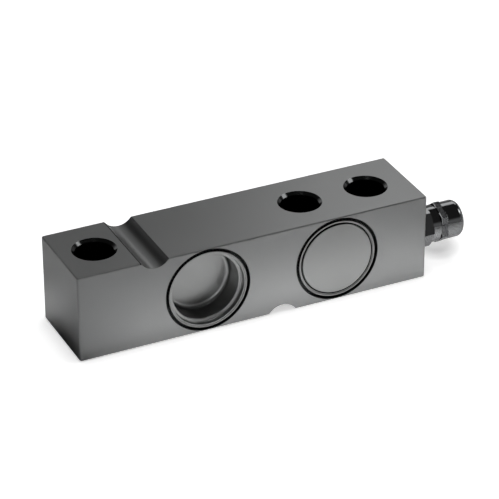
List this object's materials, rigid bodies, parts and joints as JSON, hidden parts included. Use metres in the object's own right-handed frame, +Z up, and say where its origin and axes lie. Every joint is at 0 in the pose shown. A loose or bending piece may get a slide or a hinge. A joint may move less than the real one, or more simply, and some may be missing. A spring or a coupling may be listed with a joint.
{
  "type": "cantilever beam load cell",
  "caption": "Square stainless steel shear beam load cell with bolt holes, welded gauge cups, a flat circuit cover and a cable gland on its end face.",
  "frame": {"origin": "on the mounting face, midway between the two mounting holes and in the middle of the width", "axes": "+X along the beam towards the cable gland, +Z up towards the loading side, -Y towards the face with the circuit cover"},
  "size_m": [0.1466, 0.0318, 0.0321],
  "materials": {
    "beam_steel": "satin",
    "cup_steel": "satin",
    "weld_steel": "as welded",
    "gland_nickel": "polished",
    "rubber": "matte",
    "gauge_film": "matte",
    "gauge_foil": "satin",
    "terminal_strip": "matte",
    "wire_jacket": "gloss",
    "board_laminate": "satin",
    "board_post": "satin",
    "resistor": "matte",
    "solder": "satin",
    "compound": "matte",
    "clamp_plastic": "matte"
  },
  "bodies": {
    "root": {"beam": "beam_steel", "front_gauge_cup": "cup_steel", "back_gauge_cup": "cup_steel", "circuit_cover": "cup_steel", "front_cup_weld": "weld_steel", "back_cup_weld": "weld_steel", "circuit_cover_weld": "weld_steel", "front_gauge_carrier": "gauge_film", "back_gauge_carrier": "gauge_film", "front_gauge_grids": "gauge_foil", "back_gauge_grids": "gauge_foil", "front_terminals": "terminal_strip", "back_terminals": "terminal_strip", "front_bridge_wires": "wire_jacket", "back_bridge_wires": "wire_jacket", "circuit_board": "board_laminate", "board_posts": "board_post", "trim_resistors": "resistor", "solder_pins": "solder", "port_seal": "compound", "gland_body": "gland_nickel", "gland_nut": "gland_nickel", "gland_gasket": "rubber", "gland_seal": "rubber", "gland_clamp": "clamp_plastic"}
  },
  "joints": []
}
